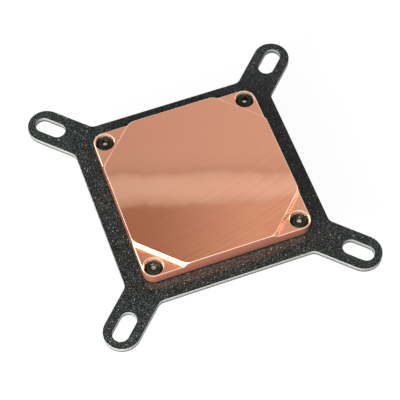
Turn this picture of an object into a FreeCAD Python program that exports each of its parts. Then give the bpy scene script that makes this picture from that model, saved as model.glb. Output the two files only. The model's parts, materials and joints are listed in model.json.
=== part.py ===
import FreeCAD, Part
import math
import os
import re

import Sketcher

# Liquid cooling cold plate: a copper base with micro-fins, screwed through a slotted
# mounting plate into a plastic housing with two coolant ports.
#
# Frame: the origin is at the centre of the housing's back face, where the block rests.
# +Z points out of the copper contact face. X and Y run along the sides of the square base.
# The stack from z = 0 upwards is housing, mounting plate, cold plate.

SIZES = {
    # Mounting plate
    "plate_side": 67.0,         # side of the square body between the arms
    "plate_thick": 2.0,
    "slot_pitch": 76.0,         # side of the square through the four slot centres
    "slot_length": 10.3,
    "slot_width": 5.3,
    "slot_wall": 3.2,           # steel beside a slot, out to the arm's side
    "slot_end": 2.33,           # steel from a slot's end to the arm's round tip
    "arm_root": 3.0,            # inner radius where an arm joins the square body
    "window_side": 44.6,        # opening that the housing's boss stands in
    "window_round": 8.0,
    # Cold plate
    "copper_side": 54.6,
    "copper_height": 6.0,       # from the mounting plate up to the contact land
    "corner_drop": 1.5,         # how far the corner floors lie below the land
    "land_across": 58.6,        # octagonal land, from one diagonal flat to the opposite one
    "land_round": 5.0,          # radius where a diagonal flat runs into a side
    "land_lap": 0.05,           # that curve meets the side this far short of tangent
    "bevel_width": 0.85,        # run of the bevel from the land down to the corner floor
    "edge_break": 0.2,          # small radius or chamfer on the machined edges
    "chamber_depth": 3.0,       # coolant chamber milled into the back, as deep as the fins
    "fin_thick": 0.35,
    "fin_gap": 0.4,
    # Corner screws, M3 with a button head
    "screw_pitch": 47.6,        # side of the square through the four screws
    "screw_width": 3.0,
    "screw_length": 12.0,       # under the head
    "screw_point": 0.4,         # chamfer on the screw's end
    "head_width": 5.7,
    "head_height": 1.65,
    "head_rim": 0.35,           # straight part of the head's side, under the dome
    "head_flat": 2.9,           # width of the flat on top of the dome
    "head_sink": 0.3,           # the head's top below the corner floor
    "head_gap": 0.15,           # between the head and the wall of its counterbore
    "shank_gap": 0.2,           # between the shank and the holes that it passes through
    "hex_across": 2.0,
    "hex_depth": 1.1,
    # Housing
    "housing_depth": 12.0,      # from the back face to the mounting plate
    "housing_break": 0.8,       # chamfer round the back face
    "window_gap": 0.1,          # between the boss and the mounting plate's window
    "boss_gap": 0.1,            # between the boss and the cold plate
    "groove_wall": 1.1,         # outside the seal's groove
    "chamber_wall": 1.2,        # between the groove and the coolant chamber
    "channel_width": 2.5,       # return channel round the island that the fins stand over
    "passage_floor": 9.0,       # the coolant passages reach down to this height
    "trough_wall": 2.0,         # from the island's side to the end of the inlet trough in it
    "trough_width": 10.0,
    "trough_round": 2.0,
    "trough_shift": 3.0,        # the trough's centre lies this far towards the inlet
    "port_bore": 13.157,        # major diameter of a G1/4 thread, whose ridges are left out
    "port_mouth": 14.157,       # the port's width at its chamfered mouth
    "port_depth": 8.0,
    "throat_width": 9.0,        # drilling that joins each port to its passage
    "throat_past": 1.0,         # it ends this far above the passage's floor
    "inlet_offset": 6.0,        # the inlet's axis, towards -Y
    "outlet_offset": 18.0,      # the outlet's axis, towards +Y
    "thread_gap": 0.05,         # between the screw and its tapped hole
    "tap_spare": 1.0,           # the tapped hole runs this far past the screw's end
    # Seal ring and jet plate
    "seal_width": 2.2,
    "groove_depth": 1.5,
    "groove_gap": 0.1,          # between the seal and each wall of its groove
    "jet_thick": 0.5,
    "jet_inset": 0.1,           # the plate's edge, inside the island's
    "jet_round": 1.0,
    "jet_slit": 1.6,
}

TURN = 45.0        # degrees: the arms, slots and lowered corners lie on the diagonals
COPIES = 4         # and repeat on every corner
NEAR = 0.001       # how closely an edge must lie where it is looked for

doc = FreeCAD.newDocument("cold_plate_block")
sheet = doc.addObject("Spreadsheet::Sheet", "Sizes")
for row, (alias, value) in enumerate(SIZES.items(), 1):
    sheet.set(f"A{row}", alias.replace("_", " "))
    sheet.set(f"B{row}", str(value))
    sheet.setAlias(f"B{row}", alias)
doc.recompute()

# Heights that several pieces share, as formulas of the sheet's cells
PLATE_UNDER = "housing_depth"
PLATE_TOP = "(housing_depth + plate_thick)"
LAND_TOP = f"({PLATE_TOP} + copper_height)"
CORNER_FLOOR = f"({LAND_TOP} - corner_drop)"
HEAD_SEAT = f"({CORNER_FLOOR} - head_sink - head_height)"
SCREW_END = f"({HEAD_SEAT} - screw_length)"
BOSS_TOP = f"({PLATE_TOP} - boss_gap)"
JET_UNDER = f"({PLATE_TOP} - jet_thick)"
GROOVE_FLOOR = f"({BOSS_TOP} - groove_depth)"

# Outlines that pieces share. Inwards from the plate's window come the boss, the seal in its
# groove, the coolant chamber, and the island, as large as the fins, with its inlet trough.
SCREW_PLACE = "(screw_pitch / 2)"
CORNER_ROUND = "((copper_side - screw_pitch) / 2)"
COUNTERBORE = "(head_width / 2 + head_gap)"
SHANK_HOLE = "(screw_width / 2 + shank_gap)"
ARM_WIDTH = "(slot_width + 2 * slot_wall)"
BOSS_SIDE = "(window_side - 2 * window_gap)"
BOSS_ROUND = "(window_round - window_gap)"
GROOVE_WIDTH = "(seal_width + 2 * groove_gap)"
SEAL_SIDE = f"({BOSS_SIDE} - 2 * groove_wall - {GROOVE_WIDTH})"
SEAL_ROUND = f"({BOSS_ROUND} - groove_wall - {GROOVE_WIDTH} / 2)"
CHAMBER_SIDE = f"({SEAL_SIDE} - {GROOVE_WIDTH} - 2 * chamber_wall)"
CHAMBER_ROUND = f"({SEAL_ROUND} - {GROOVE_WIDTH} / 2 - chamber_wall)"
ISLAND_SIDE = f"({CHAMBER_SIDE} - 2 * channel_width)"
TROUGH_LENGTH = f"({ISLAND_SIDE} - 2 * trough_wall)"
FIN_PITCH = "(fin_thick + fin_gap)"
FIN_COUNT = f"floor(({ISLAND_SIDE} + fin_gap) / {FIN_PITCH})"


def cells(formula):
    """Point each size's name in a formula at its cell in the sheet."""
    return re.sub(r"\b[a-z]+_[a-z]+\b", r"Sizes.\g<0>", formula)


def origin_feature(body, role):
    return next(item for item in body.Origin.OriginFeatures if item.Role == role)


def new_body(label):
    body = doc.addObject("PartDesign::Body", label)
    body.Label = label
    return body


def new_sketch(body, name, height, east="0", north="0", turn=0.0, plane="XY_Plane"):
    """A sketch parallel to a plane of its body, with its own centre at east, north, height."""
    sketch = body.newObject("Sketcher::SketchObject", name)
    sketch.AttachmentSupport = (origin_feature(body, plane), [""])
    sketch.MapMode = "FlatFace"
    rotation = FreeCAD.Rotation(FreeCAD.Vector(0, 0, 1), turn)
    sketch.AttachmentOffset = FreeCAD.Placement(FreeCAD.Vector(0, 0, 0), rotation)
    for axis, formula in (("x", east), ("y", north), ("z", height)):
        sketch.setExpression(f"AttachmentOffset.Base.{axis}", cells(formula))
    return sketch


# ---- Sketch geometry: every outline is fully constrained round its sketch's centre ----

def relate(sketch, *constraints):
    for kind, *where in constraints:
        sketch.addConstraint(Sketcher.Constraint(kind, *where))


def measure(sketch, formula, kind, *where):
    """Add a dimension whose value is a formula of the sheet's cells."""
    index = sketch.addConstraint(Sketcher.Constraint(kind, *where))
    sketch.setExpression(f"Constraints[{index}]", cells(formula))


def line(sketch, start, end):
    segment = Part.LineSegment(FreeCAD.Vector(*start, 0), FreeCAD.Vector(*end, 0))
    return sketch.addGeometry(segment, False)


def arc(sketch, centre, radius, start, end):
    circle = Part.Circle(FreeCAD.Vector(*centre, 0), FreeCAD.Vector(0, 0, 1), radius)
    curve = Part.ArcOfCircle(circle, math.radians(start), math.radians(end))
    return sketch.addGeometry(curve, False)


def draw_circle(sketch, radius, guess=3.0):
    circle = Part.Circle(FreeCAD.Vector(0, 0, 0), FreeCAD.Vector(0, 0, 1), guess)
    ring = sketch.addGeometry(circle, False)
    relate(sketch, ("Coincident", ring, 3, -1, 1))
    measure(sketch, radius, "Radius", ring, guess)


def draw_rectangle(sketch, wide, deep, guess=20.0):
    near, far = -guess / 2, guess / 2
    corners = [(near, near), (far, near), (far, far), (near, far)]
    side = [line(sketch, corners[i], corners[(i + 1) % 4]) for i in range(4)]
    for i in range(4):
        relate(sketch, ("Coincident", side[i], 2, side[(i + 1) % 4], 1))
    relate(sketch,
           ("Horizontal", side[0]), ("Vertical", side[1]),
           ("Horizontal", side[2]), ("Vertical", side[3]),
           ("Symmetric", side[0], 1, side[1], 2, -1, 1))
    measure(sketch, wide, "DistanceX", side[0], 1, side[0], 2, guess)
    measure(sketch, deep, "DistanceY", side[1], 1, side[1], 2, guess)


def draw_rounded(sketch, wide, deep, radius, guess=20.0):
    """A rectangle with rounded corners."""
    half, bend = guess / 2, guess / 8
    flat = half - bend
    side = [line(sketch, (-flat, -half), (flat, -half)),
            line(sketch, (half, -flat), (half, flat)),
            line(sketch, (flat, half), (-flat, half)),
            line(sketch, (-half, flat), (-half, -flat))]
    bends = [arc(sketch, (flat, -flat), bend, -90, 0),
             arc(sketch, (flat, flat), bend, 0, 90),
             arc(sketch, (-flat, flat), bend, 90, 180),
             arc(sketch, (-flat, -flat), bend, 180, 270)]
    for i in range(4):
        relate(sketch,
               ("Tangent", side[i], 2, bends[i], 1),
               ("Tangent", bends[i], 2, side[(i + 1) % 4], 1))
    relate(sketch,
           ("Horizontal", side[0]), ("Vertical", side[1]),
           ("Horizontal", side[2]), ("Vertical", side[3]),
           ("Equal", bends[0], bends[1]), ("Equal", bends[1], bends[2]), ("Equal", bends[2], bends[3]),
           ("Symmetric", bends[3], 3, bends[1], 3, -1, 1))
    measure(sketch, radius, "Radius", bends[0], bend)
    measure(sketch, wide, "DistanceX", side[3], 1, side[1], 1, guess)
    measure(sketch, deep, "DistanceY", side[0], 1, side[2], 1, guess)


def draw_slot(sketch, long, wide):
    """A straight slot with round ends, along the sketch's own X axis."""
    reach, radius = 4.0, 2.0
    upper = line(sketch, (-reach, radius), (reach, radius))
    lower = line(sketch, (-reach, -radius), (reach, -radius))
    right = arc(sketch, (reach, 0), radius, -90, 90)
    left = arc(sketch, (-reach, 0), radius, 90, 270)
    relate(sketch,
           ("Tangent", upper, 2, right, 2), ("Tangent", right, 1, lower, 2),
           ("Tangent", lower, 1, left, 2), ("Tangent", left, 1, upper, 1),
           ("Equal", right, left), ("PointOnObject", right, 3, -1),
           ("Symmetric", right, 3, left, 3, -1, 1))
    measure(sketch, f"({wide}) / 2", "Radius", right, radius)
    measure(sketch, f"({long}) - ({wide})", "DistanceX", left, 3, right, 3, 2 * reach)


def draw_hexagon(sketch, across, guess=2.0):
    """A hexagon with two of its corners on the sketch's own X axis."""
    circle = Part.Circle(FreeCAD.Vector(0, 0, 0), FreeCAD.Vector(0, 0, 1), guess)
    round_corners = sketch.addGeometry(circle, True)
    corners = [(guess * math.cos(math.radians(60 * i)), guess * math.sin(math.radians(60 * i)))
               for i in range(6)]
    side = [line(sketch, corners[i], corners[(i + 1) % 6]) for i in range(6)]
    relate(sketch, ("Coincident", round_corners, 3, -1, 1))
    for i in range(6):
        relate(sketch,
               ("Coincident", side[i], 2, side[(i + 1) % 6], 1),
               ("PointOnObject", side[i], 1, round_corners))
    for i in range(5):
        relate(sketch, ("Equal", side[i], side[i + 1]))
    relate(sketch, ("PointOnObject", side[0], 1, -1))
    measure(sketch, f"{across} / sqrt(3)", "Radius", round_corners, guess)


def draw_corner_cut(sketch):
    """What lies outside one diagonal flat of the land, in a sketch whose X axis runs out
    through that corner: the flat, a curve at each end of it, and a margin past the copper."""
    flat, radius, rise, margin, lean = 29.0, 5.0, 7.0, 2.0, math.sqrt(0.5)
    leave = (flat - radius + radius * lean, rise + radius * lean)
    outer = (leave[0] + margin * lean, leave[1] + margin * lean)
    point = (outer[0] + outer[1], 0.0)
    edge = line(sketch, (flat, -rise), (flat, rise))
    upper = arc(sketch, (flat - radius, rise), radius, 0, 45)
    lower = arc(sketch, (flat - radius, -rise), radius, -45, 0)
    upper_out = line(sketch, leave, outer)
    lower_out = line(sketch, (leave[0], -leave[1]), (outer[0], -outer[1]))
    upper_back = line(sketch, outer, point)
    lower_back = line(sketch, (outer[0], -outer[1]), point)
    relate(sketch,
           ("Tangent", edge, 2, upper, 1), ("Tangent", lower, 2, edge, 1), ("Vertical", edge),
           ("Coincident", upper, 2, upper_out, 1), ("Coincident", lower, 1, lower_out, 1),
           ("Coincident", upper_out, 2, upper_back, 1), ("Coincident", lower_out, 2, lower_back, 1),
           ("Coincident", upper_back, 2, lower_back, 2), ("PointOnObject", upper_back, 2, -1),
           ("PointOnObject", upper, 3, upper_out), ("PointOnObject", lower, 3, lower_out),
           ("Symmetric", upper, 3, lower, 3, -1), ("Equal", upper_out, lower_out),
           ("Angle", upper_out, math.radians(45)), ("Angle", lower_out, math.radians(-45)),
           ("Perpendicular", upper_out, upper_back), ("Distance", upper_out, margin))
    measure(sketch, "land_across / 2", "DistanceX", -1, 1, edge, 1, flat)
    measure(sketch, "land_round", "Radius", upper, radius)
    measure(sketch, "(copper_side / 2 + land_lap - land_round) * sqrt(2) - land_across / 2 + land_round",
            "DistanceY", -1, 1, upper, 3, rise)


def draw_screw_profile(sketch):
    """Half of the screw's section, beside its axis, with the head's seat at the centre."""
    shank, head, flat, long, tall, rim, point = 1.5, 3.0, 1.5, 12.0, 1.6, 0.4, 0.4
    corners = [(0, -long), (shank - point, -long), (shank, point - long), (shank, 0), (head, 0),
               (head, rim)]
    run = [line(sketch, corners[i], corners[i + 1]) for i in range(len(corners) - 1)]
    end, chamfer, side, seat, wall = run
    lowest = -1.3
    begin = math.degrees(math.atan2(rim - lowest, head))
    finish = math.degrees(math.atan2(tall - lowest, flat))
    dome = arc(sketch, (0, lowest), math.hypot(head, rim - lowest), begin, finish)
    top = line(sketch, (flat, tall), (0, tall))
    axis = line(sketch, (0, tall), (0, -long))
    for first, second in ((end, chamfer), (chamfer, side), (side, seat), (seat, wall), (top, axis)):
        relate(sketch, ("Coincident", first, 2, second, 1))
    relate(sketch,
           ("Coincident", wall, 2, dome, 1), ("Coincident", dome, 2, top, 1),
           ("Coincident", axis, 2, end, 1), ("Horizontal", end), ("Vertical", side),
           ("Vertical", wall), ("Horizontal", top), ("Vertical", axis), ("PointOnObject", axis, 1, -2),
           ("PointOnObject", seat, 1, -1), ("PointOnObject", seat, 2, -1), ("PointOnObject", dome, 3, -2))
    measure(sketch, "screw_width / 2", "DistanceX", -1, 1, seat, 1, shank)
    measure(sketch, "head_width / 2", "DistanceX", -1, 1, seat, 2, head)
    measure(sketch, "head_flat / 2", "DistanceX", -1, 1, dome, 2, flat)
    measure(sketch, "head_height", "DistanceY", -1, 1, top, 2, tall)
    measure(sketch, "head_rim", "DistanceY", wall, 1, wall, 2, rim)
    measure(sketch, "screw_length", "DistanceY", end, 1, -1, 1, long)
    measure(sketch, "screw_point", "DistanceX", chamfer, 1, chamfer, 2, point)
    measure(sketch, "screw_point", "DistanceY", chamfer, 1, chamfer, 2, point)


# ---- Features ----

def feature_of(body, kind, name, sketch, formula, reverse):
    feature = body.newObject(f"PartDesign::{kind}", name)
    feature.Profile = sketch
    feature.Reversed = reverse
    feature.setExpression("Length", cells(formula))
    return feature


def pad(body, name, sketch, height):
    return feature_of(body, "Pad", name, sketch, height, False)


def pocket(body, name, sketch, depth, upward=False):
    """Cut from the sketch down into the body, or upward from its underside."""
    return feature_of(body, "Pocket", name, sketch, depth, upward)


def repeat_round(body, name, *features):
    """Repeat features on all four corners, round the body's Z axis."""
    pattern = body.newObject("PartDesign::PolarPattern", name)
    pattern.Originals = list(features)
    pattern.Axis = (origin_feature(body, "Z_Axis"), [""])
    pattern.Angle = 360
    pattern.Occurrences = COPIES
    body.Tip = pattern


def dress(body, kind, name, keep, formula, size_name="Size"):
    """Chamfer or fillet the edges of the body so far that keep() accepts."""
    doc.recompute()
    base = body.Tip
    edges = [f"Edge{i}" for i, edge in enumerate(base.Shape.Edges, 1) if keep(edge)]
    feature = body.newObject(f"PartDesign::{kind}", name)
    feature.Base = (base, edges)
    feature.setExpression(size_name, cells(formula))


def is_level(edge, height):
    return all(abs(vertex.Z - height) < NEAR for vertex in edge.Vertexes)


def is_ring(edge, width):
    return isinstance(edge.Curve, Part.Circle) and abs(edge.Curve.Radius - width / 2) < NEAR


# ---- The pieces ----

def make_mounting_plate():
    """Flat steel plate: square body, four slotted arms, a window and the screws' holes."""
    body = new_body("mounting_plate")
    outline = new_sketch(body, "plate_outline", PLATE_UNDER)
    draw_rectangle(outline, "plate_side", "plate_side")
    pad(body, "plate_body", outline, "plate_thick")

    # Each arm reaches from the centre to its tip, and the body swallows its inner end.
    reach = f"(slot_pitch / sqrt(2) + slot_length / 2 + slot_end - {ARM_WIDTH} / 2)"
    middle = f"{reach} / (2 * sqrt(2))"
    arm = new_sketch(body, "arm_outline", PLATE_UNDER, middle, middle, TURN)
    draw_slot(arm, f"{reach} + {ARM_WIDTH}", ARM_WIDTH)
    repeat_round(body, "arms", pad(body, "arm", arm, "plate_thick"))

    # The inner corners, where an arm's side leaves the body's side, are cut with a radius.
    side = SIZES["plate_side"] / 2
    start = side - (SIZES["slot_width"] + 2 * SIZES["slot_wall"]) / math.sqrt(2)

    def is_root(edge):
        if is_level(edge, edge.Vertexes[0].Z):
            return False
        near, far = sorted((abs(edge.Vertexes[0].X), abs(edge.Vertexes[0].Y)))
        return abs(near - start) < NEAR and abs(far - side) < NEAR

    dress(body, "Fillet", "arm_roots", is_root, "arm_root", "Radius")

    window = new_sketch(body, "window_outline", PLATE_TOP)
    draw_rounded(window, "window_side", "window_side", "window_round")
    pocket(body, "window", window, "plate_thick")
    slot = new_sketch(body, "slot_outline", PLATE_TOP, "slot_pitch / 2", "slot_pitch / 2", TURN)
    draw_slot(slot, "slot_length", "slot_width")
    slot_cut = pocket(body, "slot", slot, "plate_thick")
    hole = new_sketch(body, "plate_hole_outline", PLATE_TOP, SCREW_PLACE, SCREW_PLACE)
    draw_circle(hole, SHANK_HOLE)
    hole_cut = pocket(body, "plate_hole", hole, "plate_thick")
    repeat_round(body, "slots_and_holes", slot_cut, hole_cut)
    return body


def make_cold_plate():
    """Copper base: bevelled octagonal land, counterbored corners, fins in a back chamber."""
    body = new_body("cold_plate")
    outline = new_sketch(body, "copper_outline", PLATE_TOP)
    draw_rounded(outline, "copper_side", "copper_side", CORNER_ROUND)
    pad(body, "copper_block", outline, "copper_height")

    # Each corner is lowered, and the wall between the land and the lower floor is a bevel.
    corner = new_sketch(body, "corner_outline", LAND_TOP, turn=TURN)
    draw_corner_cut(corner)
    corner_cut = pocket(body, "lower_corner", corner, "corner_drop")
    corner_cut.setExpression("TaperAngle", cells("-atan(bevel_width / corner_drop)"))
    counterbore = new_sketch(body, "counterbore_outline", CORNER_FLOOR, SCREW_PLACE, SCREW_PLACE)
    draw_circle(counterbore, COUNTERBORE)
    bore_cut = pocket(body, "counterbore", counterbore, "head_sink + head_height")
    hole = new_sketch(body, "copper_hole_outline", HEAD_SEAT, SCREW_PLACE, SCREW_PLACE)
    draw_circle(hole, SHANK_HOLE)
    hole_cut = pocket(body, "copper_hole", hole, f"{HEAD_SEAT} - {PLATE_TOP}")
    repeat_round(body, "corners", corner_cut, bore_cut, hole_cut)

    # The land's rim has a small radius, and the corner floors and counterbores a chamfer.
    doc.recompute()
    top = body.Shape.BoundBox.ZMax
    floor = top - SIZES["corner_drop"]
    half = SIZES["copper_side"] / 2
    rim = SIZES["head_width"] + 2 * SIZES["head_gap"]

    def is_outside(edge):
        return all(abs(max(abs(v.X), abs(v.Y)) - half) < NEAR for v in edge.Vertexes)

    dress(body, "Fillet", "land_rim", lambda edge: is_level(edge, top), "edge_break", "Radius")
    dress(body, "Chamfer", "corner_rims",
          lambda edge: is_level(edge, floor) and (is_outside(edge) or is_ring(edge, rim)), "edge_break")

    # The chamber is milled round a block of the fins' overall size, which is then slit.
    chamber = new_sketch(body, "chamber_outline", PLATE_TOP)
    draw_rounded(chamber, CHAMBER_SIDE, CHAMBER_SIDE, CHAMBER_ROUND)
    draw_rectangle(chamber, f"{FIN_COUNT} * {FIN_PITCH} - fin_gap", ISLAND_SIDE)
    pocket(body, "chamber", chamber, "chamber_depth", upward=True)
    slit = new_sketch(body, "slit_outline", PLATE_TOP, f"-({FIN_COUNT} - 2) * {FIN_PITCH} / 2")
    draw_rectangle(slit, "fin_gap", f"({ISLAND_SIDE} + {CHAMBER_SIDE}) / 2")
    slit_cut = pocket(body, "slit", slit, "chamber_depth", upward=True)
    slits = body.newObject("PartDesign::LinearPattern", "slits")
    slits.Originals = [slit_cut]
    slits.Direction = (origin_feature(body, "X_Axis"), [""])
    slits.setExpression("Occurrences", cells(f"{FIN_COUNT} - 1"))
    slits.setExpression("Length", cells(f"({FIN_COUNT} - 2) * {FIN_PITCH}"))
    body.Tip = slits
    return body


def make_corner_screws():
    """Four button-head screws, one solid each, with hexagon sockets."""
    body = new_body("corner_screws")
    body.AllowCompound = True
    profile = new_sketch(body, "screw_profile", f"-{SCREW_PLACE}", SCREW_PLACE, HEAD_SEAT,
                         plane="XZ_Plane")
    draw_screw_profile(profile)
    screw = body.newObject("PartDesign::Revolution", "screw")
    screw.Profile = profile
    screw.ReferenceAxis = (profile, ["V_Axis"])
    screw.Angle = 360
    socket = new_sketch(body, "socket_outline", f"{HEAD_SEAT} + head_height", SCREW_PLACE, SCREW_PLACE)
    draw_hexagon(socket, "hex_across")
    socket_cut = pocket(body, "socket", socket, "hex_depth")
    repeat_round(body, "screws", screw, socket_cut)
    return body


def make_seal_ring():
    """Rubber seal, squeezed between its groove's floor and the cold plate."""
    body = new_body("seal_ring")
    outline = new_sketch(body, "seal_outline", GROOVE_FLOOR)
    for sign in ("+", "-"):
        side = f"{SEAL_SIDE} {sign} seal_width"
        draw_rounded(outline, side, side, f"{SEAL_ROUND} {sign} seal_width / 2")
    pad(body, "seal", outline, f"{PLATE_TOP} - {GROOVE_FLOOR}")
    return body


def make_jet_plate():
    """Thin steel plate whose slot spreads the incoming coolant over the middle of the fins."""
    body = new_body("jet_plate")
    outline = new_sketch(body, "jet_outline", JET_UNDER)
    side = f"{ISLAND_SIDE} - 2 * jet_inset"
    draw_rounded(outline, side, side, "jet_round")
    pad(body, "jet_body", outline, "jet_thick")
    slit = new_sketch(body, "jet_slit_outline", PLATE_TOP)
    draw_slot(slit, TROUGH_LENGTH, "jet_slit")
    pocket(body, "jet_slit", slit, "jet_thick")
    return body


def make_housing():
    """Plastic housing: a boss in the plate's window, coolant passages and two ports."""
    body = new_body("housing")
    outline = new_sketch(body, "housing_outline", "0")
    draw_rounded(outline, "copper_side", "copper_side", CORNER_ROUND)
    pad(body, "housing_block", outline, PLATE_UNDER)
    boss = new_sketch(body, "boss_outline", PLATE_UNDER)
    draw_rounded(boss, BOSS_SIDE, BOSS_SIDE, BOSS_ROUND)
    pad(body, "boss", boss, f"{BOSS_TOP} - {PLATE_UNDER}")

    # Tapped holes for the corner screws
    tapped = new_sketch(body, "tapped_outline", PLATE_UNDER, SCREW_PLACE, SCREW_PLACE)
    draw_circle(tapped, "screw_width / 2 + thread_gap")
    tapped_cut = pocket(body, "tapped_hole", tapped, f"{PLATE_UNDER} - {SCREW_END} + tap_spare")
    repeat_round(body, "tapped_holes", tapped_cut)

    # Passages: a shallow recess, the return channel round the island, the inlet trough in it
    recess = new_sketch(body, "recess_outline", BOSS_TOP)
    draw_rounded(recess, CHAMBER_SIDE, CHAMBER_SIDE, CHAMBER_ROUND)
    pocket(body, "recess", recess, f"{BOSS_TOP} - {JET_UNDER}")
    channel = new_sketch(body, "channel_outline", JET_UNDER)
    draw_rounded(channel, CHAMBER_SIDE, CHAMBER_SIDE, CHAMBER_ROUND)
    draw_rectangle(channel, ISLAND_SIDE, ISLAND_SIDE)
    pocket(body, "return_channel", channel, f"{JET_UNDER} - passage_floor")
    trough = new_sketch(body, "trough_outline", JET_UNDER, north="-trough_shift")
    draw_rounded(trough, TROUGH_LENGTH, "trough_width", "trough_round")
    pocket(body, "inlet_trough", trough, f"{JET_UNDER} - passage_floor")
    groove = new_sketch(body, "groove_outline", BOSS_TOP)
    for sign in ("+", "-"):
        side = f"{SEAL_SIDE} {sign} {GROOVE_WIDTH}"
        draw_rounded(groove, side, side, f"{SEAL_ROUND} {sign} {GROOVE_WIDTH} / 2")
    pocket(body, "seal_groove", groove, "groove_depth")

    # Ports: each is bored from the back, and a narrower drilling joins it to its passage.
    for port, north in (("inlet", "-inlet_offset"), ("outlet", "outlet_offset")):
        bore = new_sketch(body, f"{port}_outline", "0", north=north)
        draw_circle(bore, "port_bore / 2")
        pocket(body, f"{port}_port", bore, "port_depth", upward=True)
        throat = new_sketch(body, f"{port}_throat_outline", "port_depth", north=north)
        draw_circle(throat, "throat_width / 2")
        pocket(body, f"{port}_throat", throat, "passage_floor + throat_past - port_depth", upward=True)
    dress(body, "Chamfer", "port_mouths",
          lambda edge: is_level(edge, 0) and is_ring(edge, SIZES["port_bore"]),
          "(port_mouth - port_bore) / 2")
    dress(body, "Chamfer", "back_edges",
          lambda edge: is_level(edge, 0) and not is_ring(edge, SIZES["port_mouth"]), "housing_break")
    return body


pieces = [make_mounting_plate(), make_cold_plate(), make_corner_screws(), make_seal_ring(),
          make_jet_plate(), make_housing()]
doc.recompute()

for item in doc.Objects:
    if "Invalid" in item.State or "Error" in item.State:
        raise RuntimeError(f"{item.Name} failed")
    if item.isDerivedFrom("PartDesign::Pocket") and item.Shape.Volume >= item.BaseFeature.Shape.Volume:
        raise RuntimeError(f"{item.Name} cuts nothing")
    if item.isDerivedFrom("Sketcher::SketchObject") and not item.FullyConstrained:
        raise RuntimeError(f"{item.Name} is loose")

for piece in pieces:
    if piece.Shape.isNull() or not piece.Shape.isValid():
        raise RuntimeError(f"{piece.Label} has no valid shape")

os.makedirs("parts", exist_ok=True)
for piece in pieces:
    piece.Shape.exportStep(f"parts/{piece.Label}.step")
    print(f"{piece.Label}: {len(piece.Shape.Solids)} solid(s), {piece.Shape.Volume:.1f} mm3")
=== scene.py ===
# %% [markdown]
# # Looks for a liquid cooling cold plate
# The CAD model already holds every real form of this part: the copper base, the slotted steel
# plate, the screws, the seal, the jet plate and the housing. This lesson gives each of them
# its finish, adds the fine threads that the CAD model leaves out, and sets up the studio that
# they are seen in.

import json
import math

import bpy
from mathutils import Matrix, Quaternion, Vector


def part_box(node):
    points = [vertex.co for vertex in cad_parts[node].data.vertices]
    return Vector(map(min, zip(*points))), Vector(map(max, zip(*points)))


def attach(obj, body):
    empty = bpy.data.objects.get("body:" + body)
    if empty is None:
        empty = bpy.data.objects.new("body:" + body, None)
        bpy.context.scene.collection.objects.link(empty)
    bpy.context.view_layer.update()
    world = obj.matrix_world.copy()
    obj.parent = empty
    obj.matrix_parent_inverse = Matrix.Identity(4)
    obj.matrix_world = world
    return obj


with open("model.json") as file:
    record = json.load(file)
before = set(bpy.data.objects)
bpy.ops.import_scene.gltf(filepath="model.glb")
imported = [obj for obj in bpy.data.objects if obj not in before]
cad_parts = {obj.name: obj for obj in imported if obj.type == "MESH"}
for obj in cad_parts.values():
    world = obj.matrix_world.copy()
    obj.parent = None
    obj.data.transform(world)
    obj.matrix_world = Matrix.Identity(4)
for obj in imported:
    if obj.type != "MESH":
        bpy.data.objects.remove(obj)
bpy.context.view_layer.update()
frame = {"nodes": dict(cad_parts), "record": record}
nodes = frame["nodes"]
MM = 0.001


print("CAD nodes:", sorted(nodes))

# %% [markdown]
# The finishes depend on where a point lies on the part: the land is milled, the steel plate's
# cut edges are bare, and so on. All those heights are read from the frame, so the finishes
# stay in place when the CAD model changes.

# %% Heights that the finishes need
plate_low, plate_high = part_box("mounting_plate")
PLATE_UNDER, PLATE_TOP = plate_low[2], plate_high[2]
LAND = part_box("cold_plate")[1][2]
HOUSING_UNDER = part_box("housing")[0][2]
print("heights in mm: housing from", round(HOUSING_UNDER / MM, 2), "and plate from",
      round(PLATE_UNDER / MM, 2), "to", round(PLATE_TOP / MM, 2), "and land at",
      round(LAND / MM, 2))

# %% [markdown]
# Shader maths is easier to read as an expression than as a chain of nodes. A small class wraps
# the socket that carries a number, and each operator on it adds the Math node that works it
# out. The reflected forms let a plain number stand on the left, as in 1 - mask.

# %% A number that varies over a surface
class Value:
    def __init__(self, finish, socket):
        self.finish = finish
        self.socket = socket

    def math(self, operation, first, second=0.0):
        node = self.finish.node("ShaderNodeMath", {"operation": operation}, {0: first, 1: second})
        return Value(self.finish, node.outputs[0])

    def __add__(self, other):
        return self.math("ADD", self, other)

    def __sub__(self, other):
        return self.math("SUBTRACT", self, other)

    def __rsub__(self, other):
        return self.math("SUBTRACT", other, self)

    def __mul__(self, other):
        return self.math("MULTIPLY", self, other)

    def __abs__(self):
        return self.math("ABSOLUTE", self)

    def __gt__(self, other):
        return self.math("GREATER_THAN", self, other)

    __radd__ = __add__
    __rmul__ = __mul__


print("numbers that vary can be added, subtracted, multiplied and compared")

# %% [markdown]
# Every other node comes from one method. It takes the node's type, its settings, which have to
# be there before its sockets are read, and then the values or links of its sockets. The same
# class serves a material and the world, and it holds the few steps that both of them need.

# %% The nodes of a material or of the world
def stops_into(ramp, stops):
    while len(ramp.elements) < len(stops):
        ramp.elements.new(1.0)
    for element, (place, colour) in zip(ramp.elements, stops):
        element.position = place
        element.color = (*colour, 1.0)


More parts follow.
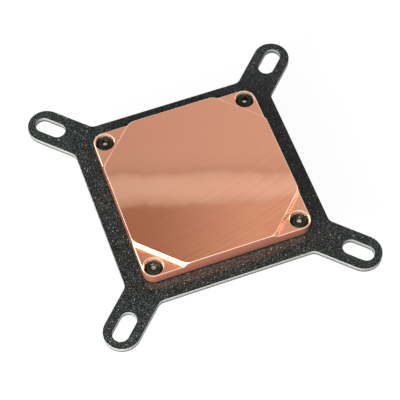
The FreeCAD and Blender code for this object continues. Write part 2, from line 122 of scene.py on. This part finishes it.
class Nodes:
    def __init__(self, owner):
        self.owner = owner
        owner.use_nodes = True
        self.tree = owner.node_tree
        self.tree.nodes.clear()

    def node(self, kind, settings=None, inputs=None):
        node = self.tree.nodes.new(kind)
        for name, value in (settings or {}).items():
            if name == "stops":
                stops_into(node.color_ramp, value)
            else:
                setattr(node, name, value)
        for name, value in (inputs or {}).items():
            socket = node.inputs[name]
            if isinstance(value, Value):
                value = value.socket
            if isinstance(value, bpy.types.NodeSocket):
                self.tree.links.new(value, socket)
            else:
                socket.default_value = value
        return node

    def value(self, kind, settings=None, inputs=None, output=0):
        """A node's output as a number that can be used in an expression."""
        return Value(self, self.node(kind, settings, inputs).outputs[output])

    def ray(self, name):
        """1 where the light path is of the named kind, or the path's number of that name."""
        return Value(self, self.node("ShaderNodeLightPath").outputs[name])

    def blend(self, amount, first, second):
        """A colour between first and second."""
        colours = [(*c, 1.0) if isinstance(c, tuple) else c for c in (first, second)]
        node = self.node("ShaderNodeMix", {"data_type": "RGBA"},
                         {0: amount, 6: colours[0], 7: colours[1]})
        return node.outputs[2]


print("one method makes every node")

# %% [markdown]
# A pattern turns places and numbers into marks on a surface: a soft mask, cloudy noise, bands
# or a fine relief. All sizes are in metres on the object itself, so that a size in a texture
# is a real size on the part, and the marks stay where they are when the object moves.

# %% Patterns
WAVE_STEP = 0.314  # metres from one band of a wave texture to the next, at a scale of 1


class Patterns(Nodes):
    def vector(self, operation, inputs):
        return self.node("ShaderNodeVectorMath", {"operation": operation}, inputs)

    def flat(self, place):
        """A place with its height left out."""
        return self.vector("MULTIPLY", {0: place, 1: (1, 1, 0)}).outputs[0]

    def distance(self, place, point):
        return Value(self, self.vector("DISTANCE", {0: place, 1: point}).outputs[1])

    def mask(self, amount, low, high, to_low=0.0, to_high=1.0):
        """A soft step from to_low to to_high while amount goes from low to high."""
        return self.value("ShaderNodeMapRange", {"interpolation_type": "SMOOTHSTEP"},
                          {"Value": amount, "From Min": low, "From Max": high,
                           "To Min": to_low, "To Max": to_high})

    def fade(self, amount, low, high):
        """A soft step down: 1 up to low and 0 from high on."""
        return self.mask(amount, low, high, 1.0, 0.0)

    def noise(self, place, size, detail=2.0, roughness=0.5):
        """Cloudy noise from 0 to 1 whose blotches are about size metres wide."""
        return self.value("ShaderNodeTexNoise", None,
                          {"Vector": place, "Scale": 0.5 / size, "Detail": detail,
                           "Roughness": roughness})

    def bands(self, place, width, axis, distortion):
        """Bands across an axis, from 0 to 1, width metres from one to the next."""
        return self.value("ShaderNodeTexWave", {"wave_type": "BANDS", "bands_direction": axis},
                          {"Vector": place, "Scale": WAVE_STEP / width,
                           "Distortion": distortion}, 1)

    def bump(self, height, depth, strength):
        """Fine relief, depth metres deep where height goes from 0 to 1."""
        return self.node("ShaderNodeBump", None,
                         {"Height": height, "Distance": depth, "Strength": strength}).outputs[0]


print("a band of 1 mm needs a wave scale of", round(WAVE_STEP / MM))

# %% [markdown]
# A finish is one material. It knows where a point lies on the object and how level the surface
# is there, and it ends in a Principled shader for a real surface or in an emitter for a light.
# The CAD nodes came with plain materials, so each gets its finish in that one's place.

# %% A finish: one node material
class Finish(Patterns):
    def __init__(self, name):
        super().__init__(bpy.data.materials.new(name))

    def place(self):
        """Where the point lies on the object, and its x, y and z by themselves."""
        coordinates = self.node("ShaderNodeTexCoord")
        split = self.node("ShaderNodeSeparateXYZ", None, {0: coordinates.outputs["Object"]})
        return coordinates.outputs["Object"], [Value(self, out) for out in split.outputs]

    def level(self):
        """How level the surface lies: 1 on a top or underside, 0 on an upright wall."""
        coordinates = self.node("ShaderNodeTexCoord")
        split = self.node("ShaderNodeSeparateXYZ", None, {0: coordinates.outputs["Normal"]})
        return abs(Value(self, split.outputs[2]))

    def glow(self, colour, strength=1.0):
        """An emitter of the colour times the strength."""
        scaled = self.vector("SCALE", {0: colour, "Scale": strength}).outputs[0]
        return self.node("ShaderNodeEmission", None, {"Color": scaled, "Strength": 1.0})

    def shown(self, shader):
        """Send a shader out to the surface and hand back the material."""
        self.node("ShaderNodeOutputMaterial", None, {"Surface": shader.outputs[0]})
        return self.owner

    def surface(self, inputs):
        return self.shown(self.node("ShaderNodeBsdfPrincipled", None, inputs))


def dress(node, material):
    """Give a CAD node its finish in place of the plain one that it was loaded with."""
    mesh = nodes[node].data
    mesh.materials.clear()
    mesh.materials.append(material)
    print(node, "wears", material.name, "of", len(material.node_tree.nodes), "nodes")


# %% [markdown]
# ## Milled copper
# The contact land of a cold plate is faced with a large fly cutter, which leaves faint arcs
# round a centre far outside the part. They are much finer than the part's own forms, so they
# stay out of the mesh: a noise that runs along the distance to that centre gives them as a
# slight relief and a slight change of tone. A broader noise breaks them up, as lapping does.

# %% Arcs that the fly cutter leaves
CUTTER_CENTRE = (-36.0 * MM, 147.0 * MM, 0.0)
ARC_STEP = 1.2 * MM
ARC_GAPS = 2.2 * MM
CLEAR_UP_TO, FAINT_FROM = -20 * MM, 6 * MM  # along y, a little askew


def cutter_arcs(copper, place, x, y):
    """Faint arcs, from 0 to 1, weaker towards the back of the land."""
    radius = copper.distance(copper.flat(place), CUTTER_CENTRE)
    arcs = copper.value("ShaderNodeTexNoise", {"noise_dimensions": "1D"},
                        {"W": radius, "Scale": 1.0 / ARC_STEP, "Detail": 3.0, "Roughness": 0.7})
    broken = copper.noise(place, ARC_GAPS, 3.0)
    arcs = copper.mask(arcs, 0.3, 0.7) * copper.mask(broken, 0.25, 0.6, 0.45, 1.0)
    return arcs * copper.mask(y - x * 0.4, CLEAR_UP_TO, FAINT_FROM, 1.0, 0.25)


print("fly cutter centre at", [round(c / MM, 1) for c in CUTTER_CENTRE[:2]], "mm")

# %% [markdown]
# At the front right corner the tool shook a little as it left the metal, and that made a patch
# of fine, even bands. Each screw stands in a counterbore whose rim was broken with a small
# chamfer. The screws stand square to each other, so one distance, taken with the signs left
# out, serves all four, both here and for the screws' own finish.

# %% Chatter, and the distance from the nearest screw
CHATTER_STEP = 0.9 * MM
CHATTER_X = (9 * MM, 14 * MM)     # it grows to the right between these
CHATTER_Y = (-24 * MM, -19 * MM)  # and is gone behind these
SCREW_HEAD = 5.7 * MM
screw_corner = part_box("corner_screws")[1]
SCREW_TOP = screw_corner[2]
SCREW_PLACE = screw_corner[0] - SCREW_HEAD / 2


def chatter_bands(copper, place, x, y):
    """Even bands in the front right corner only."""
    bands = copper.bands(place, CHATTER_STEP, "X", 0.8)
    return bands * copper.mask(x, *CHATTER_X) * copper.fade(y, *CHATTER_Y)


def from_screw(finish, place):
    """Metres from the axis of the nearest screw."""
    unsigned = finish.vector("ABSOLUTE", {0: place}).outputs[0]
    return finish.distance(finish.flat(unsigned), (SCREW_PLACE, SCREW_PLACE, 0.0))


print("screws at", round(SCREW_PLACE / MM, 2), "mm from the middle")

# %% [markdown]
# Cut copper isn't the same all over. The side walls come off the saw and the end mill, so
# they are duller; their darker tone is partly that and partly painted shade, which deepens
# low down, and a nearly black painted shadow runs along their foot. Each bevel has a paler
# tone, a painted highlight, and a dark painted line a little under the land. The broken
# edges carry thin pale painted highlights. The slope and the height of a point tell these
# places apart.

# %% Zones of the copper
LAND_EDGE = 0.3 * MM       # the land's tone starts this far under it
WALL_SHADE = 4.5 * MM      # painted shade darkens the wall from here down to the plate
FOOT = 0.55 * MM           # height of the painted shadow line over the plate
BEVEL_STEP = 0.55 * MM     # how far under the land the dark painted line on each bevel lies
FLOOR_RIM = 1.6 * MM       # how far under the land the corner floors' outer rim lies
BORE_RIM = 3.3 * MM        # radius of the counterbores' rims


def copper_zones(copper, z, level):
    """Masks for the land, walls, painted wall shade, painted foot shadow, bevels, their painted
    dark lines, and floors.
    """
    land = copper.mask(z, LAND - LAND_EDGE, LAND - 0.05 * MM)
    wall = copper.fade(level, 0.15, 0.4)
    shade = wall * copper.fade(z, PLATE_TOP + 0.5 * MM, PLATE_TOP + WALL_SHADE)
    foot = wall * copper.fade(z, PLATE_TOP + FOOT, PLATE_TOP + FOOT + 0.2 * MM)
    bevel = copper.mask(level, 0.3, 0.45) * copper.fade(level, 0.55, 0.7)
    step = bevel * copper.fade(abs(z - (LAND - BEVEL_STEP)), 0.06 * MM, 0.20 * MM)
    corner = (1.0 - land) * copper.mask(level, 0.985, 0.998)
    return land, wall, shade, foot, bevel, step, corner


def rim_highlights(copper, place, z, level, land):
    """Masks for the painted highlights on the edges: the counterbores', the corner floors' and the
    land's.
    """
    bore = copper.fade(from_screw(copper, place), BORE_RIM - 0.05 * MM, BORE_RIM + 0.05 * MM)
    bore = bore * copper.fade(level, 0.85, 0.95)
    outer = copper.fade(abs(z - (LAND - FLOOR_RIM)), 0.10 * MM, 0.16 * MM)
    outer = outer * copper.mask(level, 0.6, 0.66) * copper.fade(level, 0.76, 0.86)
    return bore, outer, land * copper.fade(level, 0.90, 0.985)


print("copper has 7 zones and 3 kinds of rim, between", round(PLATE_TOP / MM, 2), "and",
      round(LAND / MM, 2), "mm")

# %% [markdown]
# The tones are laid over each other as a painter would, each through its own mask. The copper
# is a metal throughout, except that the dull walls and bevels have a small share of plain
# colour, because a rough cut surface scatters some light where a mirror would not. The land
# is polished almost to a mirror and the cut places are rougher.

# %% Copper base
LAPPED, GROOVE = (0.89, 0.47, 0.33), (0.80, 0.36, 0.235)
DULL_WALL_AND_SHADE, PAINTED_WALL_SHADE, FOOT_SHADOW = (0.46, 0.155, 0.09), (0.30, 0.10, 0.06), (0.012, 0.005, 0.003)
BEVEL_HIGHLIGHT, PAINTED_STEP_LINE, CORNER_FLOOR = (0.94, 0.53, 0.37), (0.62, 0.20, 0.10), (0.80, 0.41, 0.285)
BORE_RIM_HIGHLIGHT, OUTER_EDGE_HIGHLIGHT, LAND_RIM_HIGHLIGHT = (1.0, 0.74, 0.58), (0.98, 0.66, 0.50), (0.96, 0.74, 0.60)
SCRATCH, CLOUD = 0.18 * MM, 9 * MM


def copper_finish():
    copper = Finish("milled_copper")
    place, (x, y, z) = copper.place()
    level = copper.level()
    land, wall, shade, foot, bevel, step, corner = copper_zones(copper, z, level)
    bore, outer, rim = rim_highlights(copper, place, z, level, land)
    arcs = land * cutter_arcs(copper, place, x, y)
    chatter = land * chatter_bands(copper, place, x, y)
    scratches = copper.noise(place, SCRATCH, 4.0, 0.6)
    clouds = copper.noise(place, CLOUD, 2.0)

    tone = copper.blend(arcs * 0.5 + chatter * 0.35 + scratches * 0.08, LAPPED, GROOVE)
    # painted shade darkens the walls and a painted shadow lines their foot; the bevels get a
    # painted highlight and a dark painted line, and the edges get painted highlights
    for amount, colour in ((wall * 0.9, DULL_WALL_AND_SHADE), (shade * 0.5, PAINTED_WALL_SHADE), (bevel, BEVEL_HIGHLIGHT),
                           (step, PAINTED_STEP_LINE), (corner, CORNER_FLOOR), (foot, FOOT_SHADOW),
                           (bore, BORE_RIM_HIGHLIGHT), (outer, OUTER_EDGE_HIGHLIGHT), (rim, LAND_RIM_HIGHLIGHT)):
        tone = copper.blend(amount, tone, colour)
    polished = 0.065 + clouds * 0.02 + arcs * 0.02
    duller = (1 - land) * 0.10 + wall * 0.15 + bevel * 0.04 + step * 0.3 + corner * 0.20
    return copper.surface({
        "Base Color": tone, "Metallic": 1.0 - wall * 0.27 - bevel * 0.2,
        "Roughness": polished + duller,
        "Normal": copper.bump(arcs * 0.6 + scratches * 0.4, 0.002 * MM, 0.5)})


dress("cold_plate", copper_finish())

# %% [markdown]
# ## Powder-coated steel
# The mounting plate is cut from sheet and coated on its faces with a black powder, which melts
# into a fine orange-peel grain. Its sparkles, where single grains catch the light, are painted
# as pale specks, a painted glint. A thin coat over the base gives the soft sheen that the beads
# of powder have. The cut edges stay pale: the upper half is smooth and the lower half is torn
# and darker. The slope of the surface tells the edges from the faces.

# %% Mounting plate
POWDER_GRAIN, POWDER_CLOUD = 0.17 * MM, 1.4 * MM
SPECK_CELL = 0.5 * MM
SPECK_SHARE = 0.07
TORN_UP_TO, SMOOTH_FROM = 0.8 * MM, 1.2 * MM
VALLEY, BEAD, SPECK_GLINT = (0.003, 0.004, 0.0038), (0.108, 0.124, 0.118), (0.34, 0.35, 0.32)
TORN_DARK, TORN_PALE, SMOOTH_EDGE = (0.06, 0.065, 0.06), (0.11, 0.115, 0.105), (0.235, 0.25, 0.23)


def coated_steel():
    steel = Finish("black_powder_coat")
    place, (_, _, z) = steel.place()
    grain = steel.noise(place, POWDER_GRAIN, 2.0, 0.7)
    cloud = steel.noise(place, POWDER_CLOUD, 2.0)
    bead = steel.mask(grain + cloud * 0.10, 0.55, 0.80)
    cell = steel.node("ShaderNodeTexVoronoi", None, {"Vector": place, "Scale": 1.0 / SPECK_CELL})
    chance = steel.value("ShaderNodeTexWhiteNoise", None, {"Vector": cell.outputs[2]})
    # the specks are a painted glint: pale colour where single grains would catch the light
    glint_speck = steel.fade(Value(steel, cell.outputs[0]), 0.12, 0.34) * (chance > 1.0 - SPECK_SHARE)
    edge = steel.fade(steel.level(), 0.3, 0.6)
    smooth = steel.mask(z, PLATE_UNDER + TORN_UP_TO, PLATE_UNDER + SMOOTH_FROM)

    black = steel.blend(glint_speck, steel.blend(bead, VALLEY, BEAD), SPECK_GLINT)
    bare = steel.blend(smooth, steel.blend(grain, TORN_DARK, TORN_PALE), SMOOTH_EDGE)
    return steel.surface({
        "Base Color": steel.blend(edge, black, bare),
        "Metallic": edge * 0.35, "Specular IOR Level": 0.06,
        "Coat Weight": 0.27 - edge * 0.27, "Coat Roughness": 0.19,
        "Roughness": 0.44 - bead * 0.08 - glint_speck * 0.14,
        "Normal": steel.bump(grain + glint_speck * 0.4, 0.03 * MM, 0.45)})


dress("mounting_plate", coated_steel())

# %% [markdown]
# ## Blackened screws
# The screws are steel with a black oxide finish: a dark metal whose domes still mirror the
# room softly. A fine noise stands for the grain of the oxide and a broader one for its uneven
# depth, which also shapes a painted glint: the floor of each hexagon socket is painted pale,
# as a small bright spot where it catches the light.

# %% Screws
OXIDE_GRAIN, OXIDE_CLOUD = 0.12 * MM, 0.5 * MM
SOCKET_CLEAR, SOCKET_EDGE = 0.45 * MM, 0.95 * MM
SOCKET_DEEP, SOCKET_SHALLOW = 0.5 * MM, 0.25 * MM
OXIDE_DARK, OXIDE_PALE, SOCKET_GLINT = (0.011, 0.0125, 0.0105), (0.036, 0.039, 0.033), (0.85, 0.86, 0.83)


def oxide_finish():
    oxide = Finish("black_oxide")
    place, (_, _, z) = oxide.place()
    grain = oxide.noise(place, OXIDE_GRAIN, 3.0)
    oxide_depth_and_glint = oxide.noise(place, OXIDE_CLOUD, 2.0)
    socket = oxide.fade(from_screw(oxide, place), SOCKET_CLEAR, SOCKET_EDGE)
    socket = socket * oxide.fade(z, SCREW_TOP - SOCKET_DEEP, SCREW_TOP - SOCKET_SHALLOW)
    tone = oxide.blend(oxide_depth_and_glint, OXIDE_DARK, OXIDE_PALE)
    # painted glint: the socket floors are painted pale
    tone = oxide.blend(socket * oxide.mask(oxide_depth_and_glint, 0.3, 0.5, 0.4, 1.0), tone, SOCKET_GLINT)
    return oxide.surface({
        "Base Color": tone, "Metallic": 0.9, "Roughness": 0.20 + grain * 0.12,
        "Normal": oxide.bump(grain, 0.008 * MM, 0.3)})


dress("corner_screws", oxide_finish())

# %% [markdown]
# ## Housing
# The housing is milled from black acetal, a plastic that takes a silky surface with faint
# cutter paths. Broad bands stand for the passes of the cutter over the flat faces, fine rings
# for its feed, and level lines up the walls for its steps down. It is seen only from the side
# and from below.

# %% Milled acetal
PASS_WIDTH = 4.5 * MM
FEED = 0.35 * MM
STEP_DOWN = 0.9 * MM
FIBRE = 0.25 * MM
ACETAL_DARK, ACETAL_PALE = (0.010, 0.010, 0.011), (0.030, 0.030, 0.032)


def acetal_finish():
    acetal = Finish("milled_acetal")
    place, _ = acetal.place()
    flat = acetal.mask(acetal.level(), 0.8, 0.95)
    passes = acetal.bands(place, PASS_WIDTH, "X", 0.15)
    feed = acetal.value("ShaderNodeTexWave", {"wave_type": "RINGS", "rings_direction": "Z"},
                        {"Vector": place, "Scale": WAVE_STEP / FEED, "Distortion": 0.5,
                         "Detail": 1.0}, 1)
    layers = acetal.bands(place, STEP_DOWN, "Z", 0.4)
    fibre = acetal.noise(place, FIBRE, 4.0, 0.6)
    swept = acetal.mask(passes, 0.35, 0.65) * flat
    relief = feed * flat * 0.6 + layers * (1 - flat) * 0.6 + fibre * 0.4
    tone = acetal.blend(swept * 0.6 + fibre * 0.4, ACETAL_DARK, ACETAL_PALE)
    return acetal.surface({
        "Base Color": tone, "Roughness": 0.32 + fibre * 0.08 + swept * 0.12,
        "Normal": acetal.bump(relief, 0.012 * MM, 0.6)})


dress("housing", acetal_finish())

# %% [markdown]
# ## Seal
# The seal is a ring of plain black rubber, squeezed between the copper and the housing. Moulded
# rubber has no sheen and grows a dry, uneven bloom, so its roughness is high and varies.

# %% Seal rubber
BLOOM, RUBBER_GRAIN = 1.2 * MM, 0.1 * MM


def rubber_finish():
    rubber = Finish("dry_rubber")
    place, _ = rubber.place()
    bloom = rubber.noise(place, BLOOM, 3.0)
    grain = rubber.noise(place, RUBBER_GRAIN, 2.0)
    return rubber.surface({
        "Base Color": rubber.blend(bloom, (0.012, 0.012, 0.012), (0.03, 0.03, 0.029)),
        "Roughness": 0.62 + bloom * 0.15,
        "Normal": rubber.bump(grain, 0.01 * MM, 0.4)})


dress("seal_ring", rubber_finish())

# %% [markdown]
# ## Jet plate
# The jet plate is rolled stainless sheet, whose fine lines all run one way. The place is
# squeezed along that way before the noise is read from it, which draws its blotches out into
# lines.

# %% Rolled stainless
LINE_WIDTH = 0.05 * MM
DRAWN_OUT = (0.04, 1.0, 1.0)  # each line is 1 / 0.04 times as long as it is wide


def rolled_finish():
    rolled = Finish("rolled_stainless")
    place, _ = rolled.place()
    squeezed = rolled.vector("MULTIPLY", {0: place, 1: DRAWN_OUT}).outputs[0]
    lines = rolled.noise(squeezed, LINE_WIDTH, 3.0)
    return rolled.surface({
        "Base Color": rolled.blend(lines, (0.48, 0.48, 0.47), (0.62, 0.62, 0.61)),
        "Metallic": 1.0, "Roughness": 0.25 + lines * 0.12,
        "Normal": rolled.bump(lines, 0.004 * MM, 0.4)})


dress("jet_plate", rolled_finish())

# %% [markdown]
# ## Port threads
# Both coolant ports are tapped for G1/4 hose fittings: a 55 degree thread with rounded crests,
# 1.337 mm from one turn to the next. The CAD model stops at the thread's outer diameter, so the
# ridge between the grooves is added here. A bevelled curve would roll as it climbs, so a small
# profile is carried round the port ring by ring. It shrinks to nothing over the last half turn
# at each end, as a tap leaves it.

# %% Points and faces of a thread ridge
PITCH = 1.337 * MM
RIDGE = 0.856 * MM
STEPS = 56
LEAST_FADE = 0.05
# Each point: how far along the axis, in pitches, and how far in from the wall, in ridges
RIDGE_PROFILE = ((-0.47, -0.04), (-0.38, 0.10), (-0.14, 0.86), (0.0, 1.0), (0.14, 0.86),
                 (0.38, 0.10), (0.47, -0.04))


def ridge_point(centre, wall, start, turn, fade, along, inward):
    """One point of the profile, after so many turns."""
    radius = wall - RIDGE * inward * (fade if inward > 0 else 1.0)
    height = start + PITCH * (turn + 0.5 + along * max(fade, LEAST_FADE))
    angle = math.tau * turn
    return (centre[0] + radius * math.cos(angle), centre[1] + radius * math.sin(angle), height)


def ridge_mesh(name, centre, wall, start, turns):
    mesh = bpy.data.meshes.new(name)
    rings, wide = round(turns * STEPS), len(RIDGE_PROFILE)
    points = [ridge_point(centre, wall, start, ring / STEPS,
                          min(1.0, 2 * ring / STEPS, 2 * (turns - ring / STEPS)), along, inward)
              for ring in range(rings + 1) for along, inward in RIDGE_PROFILE]
    faces = [(a, a + 1, a + 1 + wide, a + wide) for ring in range(rings)
             for a in range(ring * wide, ring * wide + wide - 1)]
    mesh.from_pydata(points, [], faces)
    mesh.shade_smooth()
    return mesh


print("thread ridge", round(RIDGE / MM, 3), "mm high, one turn every", round(PITCH / MM, 3), "mm")

# %% [markdown]
# The record of the part says where the threaded ports are, how wide and how long. One ridge is
# made for each of them, of the housing's own plastic, and it rides on the part's only body.

# %% A ridge in each port
def add(name, data, place=(0.0, 0.0, 0.0)):
    """A new object in the scene."""
    thing = bpy.data.objects.new(name, data)
    thing.location = place
    bpy.context.collection.objects.link(thing)
    return thing


for mount in frame["record"]["mounts"]:
    if mount["kind"] == "threaded_hole":
        centre, wall = mount["pos_m"], mount["dims"]["r_mm"] * MM
        length = mount["dims"]["length_mm"] * MM
        name = mount["name"] + "_thread"
        turns = length / PITCH - 1
        coil = add(name, ridge_mesh(name, centre, wall, centre[2] - length / 2, turns))
        coil.data.materials.append(nodes["housing"].data.materials[0])
        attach(coil, "root")
        print(name, round(turns, 2), "turns,", len(coil.data.polygons), "faces")

# %% [markdown]
# ## Studio
# The part lies on a white table in a white tent. The tent is white to the camera and to every
# mirror, and it lights the part a little less strongly than that, so that pale metal doesn't
# clip. A light path node tells those cases apart.

# %% White tent
TENT_LIGHT = 0.85
tent = Nodes(bpy.data.worlds.new("white_tent"))
seen = tent.ray("Is Camera Ray") + tent.ray("Is Glossy Ray")
background = tent.node("ShaderNodeBackground", None, {
    "Color": tent.blend(seen, (TENT_LIGHT,) * 3, (1.0, 1.0, 1.0)), "Strength": 1.0})
tent.node("ShaderNodeOutputWorld", None, {"Surface": background.outputs[0]})
bpy.context.scene.world = tent.owner
print("tent lights at", TENT_LIGHT, "and shows at", 1.0)

# %% [markdown]
# The table is white paper. Most of what the camera sees of it is its own glow, and the rest is
# lit paper, which keeps a soft trace of the part's shadow.

# %% Table
TABLE_GAP = 0.05 * MM
CAMERA_GLOW, MIRROR_GLOW = 0.93, 0.6
PAPER_FIBRE = 3 * MM


def table_finish():
    table = Finish("white_table")
    mirrored = table.ray("Is Glossy Ray") + table.ray("Is Transmission Ray")
    share = table.ray("Is Camera Ray") * CAMERA_GLOW + mirrored * MIRROR_GLOW
    place, _ = table.place()
    fibre = table.noise(place, PAPER_FIBRE, 3.0)
    paper = table.node("ShaderNodeBsdfPrincipled", None, {
        "Base Color": table.blend(fibre, (0.93, 0.93, 0.93), (0.97, 0.97, 0.97)),
        "Roughness": 0.9})
    both = table.node("ShaderNodeMixShader", None, {
        0: share, 1: paper.outputs[0], 2: table.glow((1.0, 1.0, 1.0)).outputs[0]})
    return table.shown(both)


def flat_card(name, material, centre, half):
    """A flat square facing up and down, which is part of the stage."""
    mesh = bpy.data.meshes.new(name)
    corners = [(-half, -half, 0), (half, -half, 0), (half, half, 0), (-half, half, 0)]
    mesh.from_pydata(corners, [], [(0, 1, 2, 3)])
    mesh.materials.append(material)
    card = add(name, mesh, centre)
    print(name, "is", round(2 * half, 3), "m wide, at a height of", round(centre[2], 4), "m")
    return card


flat_card("table", table_finish(), (0, 0, HOUSING_UNDER - TABLE_GAP), 3.0)

# %% [markdown]
# ## Camera
# The camera stands in front, to the left and well above the part, with a long lens, so that
# the land is seen from above and its far side looks only a little narrower. It is turned by
# one degree about its own line of sight.

# %% Camera
EYE = Vector((-79.04, -228.06, 416.34)) * MM
AIM = Vector((-1.78, -4.33, 14.0)) * MM
ROLL = math.radians(0.998)
LENS, SENSOR = 133.62, 36.0


def turn_to(thing, way, face="-Z"):
    """Turn a thing so that its face axis points along way."""
    thing.rotation_mode = "QUATERNION"
    thing.rotation_quaternion = way.to_track_quat(face, "Y")


camera_data = bpy.data.cameras.new("camera")
camera_data.sensor_width = SENSOR
camera_data.lens = LENS
camera = add("camera", camera_data, EYE)
turn_to(camera, AIM - EYE)
camera.rotation_quaternion = camera.rotation_quaternion @ Quaternion((0, 0, 1), -ROLL)
bpy.context.scene.camera = camera
bpy.context.scene.view_settings.view_transform = "Standard"
print("camera", round((EYE - AIM).length / MM), "mm from what it looks at")

# %% [markdown]
# ## Card over the land
# Polished copper shows what hangs over it: an even pale top, a brighter band below it, a dark
# wavy line between them, and a warm dark foot. Painting that on the copper would be wrong from
# every other side, so a card with that pattern hangs over the land and glows. A ramp holds the
# colours from front to back, and a noise makes their borders sway.

# %% Pattern of the card
CARD_HEIGHT = 60 * MM
ENLARGE = 1 + (CARD_HEIGHT - LAND) / (EYE.z - LAND)
REACH = 20.0  # the pattern runs from this many mm in front of the land's middle to behind it
EVEN, DIP, BAND = (0.68, 0.605, 0.56), (0.585, 0.515, 0.46), (0.80, 0.785, 0.74)
# How many mm behind the land's middle each colour lies
PATTERN = ((-9.0, (0.66, 0.61, 0.55)), (-7.0, (0.76, 0.72, 0.67)), (-5.0, BAND), (-1.5, BAND),
           (0.9, (0.72, 0.67, 0.62)), (1.9, DIP), (2.5, DIP), (4.2, (0.65, 0.58, 0.53)),
           (9.0, EVEN))
FOOT_LEFT, FOOT_RIGHT = (0.44, 0.31, 0.235), (0.70, 0.58, 0.49)
SWAY, SWAY_SIZE = 6.5, 8 * MM  # how many mm the borders sway on the land, and how wide a wave is


def card_finish():
    card = Finish("card_light")
    place, (across, away, _) = card.place()
    right = across * (1 / (ENLARGE * MM))
    sway = (card.noise(place, SWAY_SIZE, 3.0, 0.55) - 0.5) * SWAY
    back = away * (1 / (ENLARGE * MM)) + sway
    ramp = card.node("ShaderNodeValToRGB",
                     {"stops": [((mm + REACH) / (2 * REACH), colour) for mm, colour in PATTERN]},
                     {"Fac": (back + REACH) * (1 / (2 * REACH))})
    foot = card.blend(card.mask(right, -21.0, 22.0), FOOT_LEFT, FOOT_RIGHT)
    in_foot = card.fade(back - right * 0.05, -10.6, -8.2)
    return card.shown(card.glow(card.blend(in_foot, ramp.outputs[0], foot),
                                1.02 + right * 0.0035))


print("card", round(ENLARGE, 3), "times the land's size")

# %% [markdown]
# The card's place follows from the camera's. A flat mirror shows what lies on the line from the
# camera's own mirror image, so the pattern on the card is the one on the land, only larger and
# further back. Nothing but mirrors may see the card, or it would shade the part.

# %% Card over the land
CARD_HALF = 46 * MM


def only_reflected(stage_piece):
    """Hide a piece of the stage from everything but mirrors."""
    for ray in ("camera", "diffuse", "shadow", "transmission", "volume_scatter"):
        setattr(stage_piece, f"visible_{ray}", False)


behind = Vector((-EYE.x, -EYE.y, 0)) * (ENLARGE - 1)
ahead = Vector((AIM.x - EYE.x, AIM.y - EYE.y)).normalized()
card = flat_card("reflection_card", card_finish(), (behind.x, behind.y, CARD_HEIGHT),
                 CARD_HALF)
card.rotation_euler = (0, 0, math.atan2(-ahead.x, ahead.y))
only_reflected(card)

# %% [markdown]
# ## Soft boxes
# Two large soft boxes, on the left and at the back, give the light a side. A small one near
# the left front corner is stronger, because the beads of the powder coat have to sparkle
# there. None of them shows in the copper, where a square lamp would look out of place.

# %% Soft boxes
BOXES_AIM = Vector((0, 0, 0.015))


def softbox(name, place, width, height, power):
    lamp = bpy.data.lights.new(name, "AREA")
    lamp.shape = "RECTANGLE"
    lamp.size, lamp.size_y = width, height
    lamp.energy = power
    holder = add(name, lamp, place)
    turn_to(holder, BOXES_AIM - holder.location)
    holder.visible_camera = False
    holder.visible_glossy = False
    print(name, "gives", power, "W from", round(holder.location.length, 2), "m")


softbox("left_box", (-0.85, -0.35, 0.60), 1.0, 0.7, 1.5)
softbox("near_box", (-0.25, -0.17, 0.15), 0.16, 0.12, 3.0)
softbox("back_box", (0.25, 0.95, 0.65), 1.0, 0.7, 1.0)

# %% [markdown]
# ## Front card
# The copper's side wall throws a warm glow on the black plate in front of it. What the eye
# sees there has been mirrored twice, in the plate's sheen and then in the wall, and comes from
# high up in front. A card hangs there. It is bright only to light that has been mirrored
# more than once, and as plain as the tent to the first mirror, or else it would wash out the
# land when it is seen from behind.

# %% Front card
FRONT_WAY = Vector((-0.14, -0.36, 0.92))
FRONT_FAR = 0.6
FRONT_EVEN, FRONT_HALF = 0.34, 0.45  # as bright as at its middle up to the first, none at the last


def twice_mirrored(name, strength):
    plain = Finish(name)
    place, _ = plain.place()
    from_middle = plain.distance(place, (0.0, 0.0, 0.0))
    extra = plain.mask(from_middle, FRONT_EVEN, FRONT_HALF, strength, 0.0)
    again = plain.ray("Ray Depth") > 1.5
    plain.owner.cycles.emission_sampling = "NONE"
    return plain.shown(plain.glow((1.0, 0.97, 0.93), 1.0 + again * extra))


front_card = flat_card("front_card", twice_mirrored("front_light", 15.0),
                       FRONT_WAY * FRONT_FAR, FRONT_HALF)
turn_to(front_card, FRONT_WAY, "Z")
only_reflected(front_card)

# %% [markdown]
# ## Ring of light
# A low ring of light stands round the table. Only reflections see it, and it draws the bright
# lines along the edges and bevels of the polished copper. It is brightest at the left front,
# and it fades towards its top.

# %% Ring of light
RING_RADIUS = 0.26
RING_UNDER, RING_TOP = 0.0005, 0.060
RING_FADE = 0.012
RING_SIDES = 64
BRIGHT_WAY = (-0.85, -0.5)


def ring_finish():
    ring = Finish("ring_light")
    _, (x, y, z) = ring.place()
    towards = x * (BRIGHT_WAY[0] / RING_RADIUS) + y * (BRIGHT_WAY[1] / RING_RADIUS)
    strength = ring.mask(towards, 0.2, 0.9, 1.8, 6.0)
    strength = strength * ring.mask(z, RING_TOP - RING_FADE, RING_TOP, 1.0, 0.35)
    return ring.shown(ring.glow((1.0, 0.97, 0.92), strength))


ring_mesh = bpy.data.meshes.new("light_ring")
angles = [math.tau * side / RING_SIDES for side in range(RING_SIDES)]
ring_mesh.from_pydata(
    [(RING_RADIUS * math.cos(angle), RING_RADIUS * math.sin(angle), height)
     for height in (RING_UNDER, RING_TOP) for angle in angles], [],
    [(side, (side + 1) % RING_SIDES, RING_SIDES + (side + 1) % RING_SIDES, RING_SIDES + side)
     for side in range(RING_SIDES)])
ring_mesh.materials.append(ring_finish())
light_ring = add("light_ring", ring_mesh)
only_reflected(light_ring)
print("ring of light", RING_RADIUS, "m from the middle")
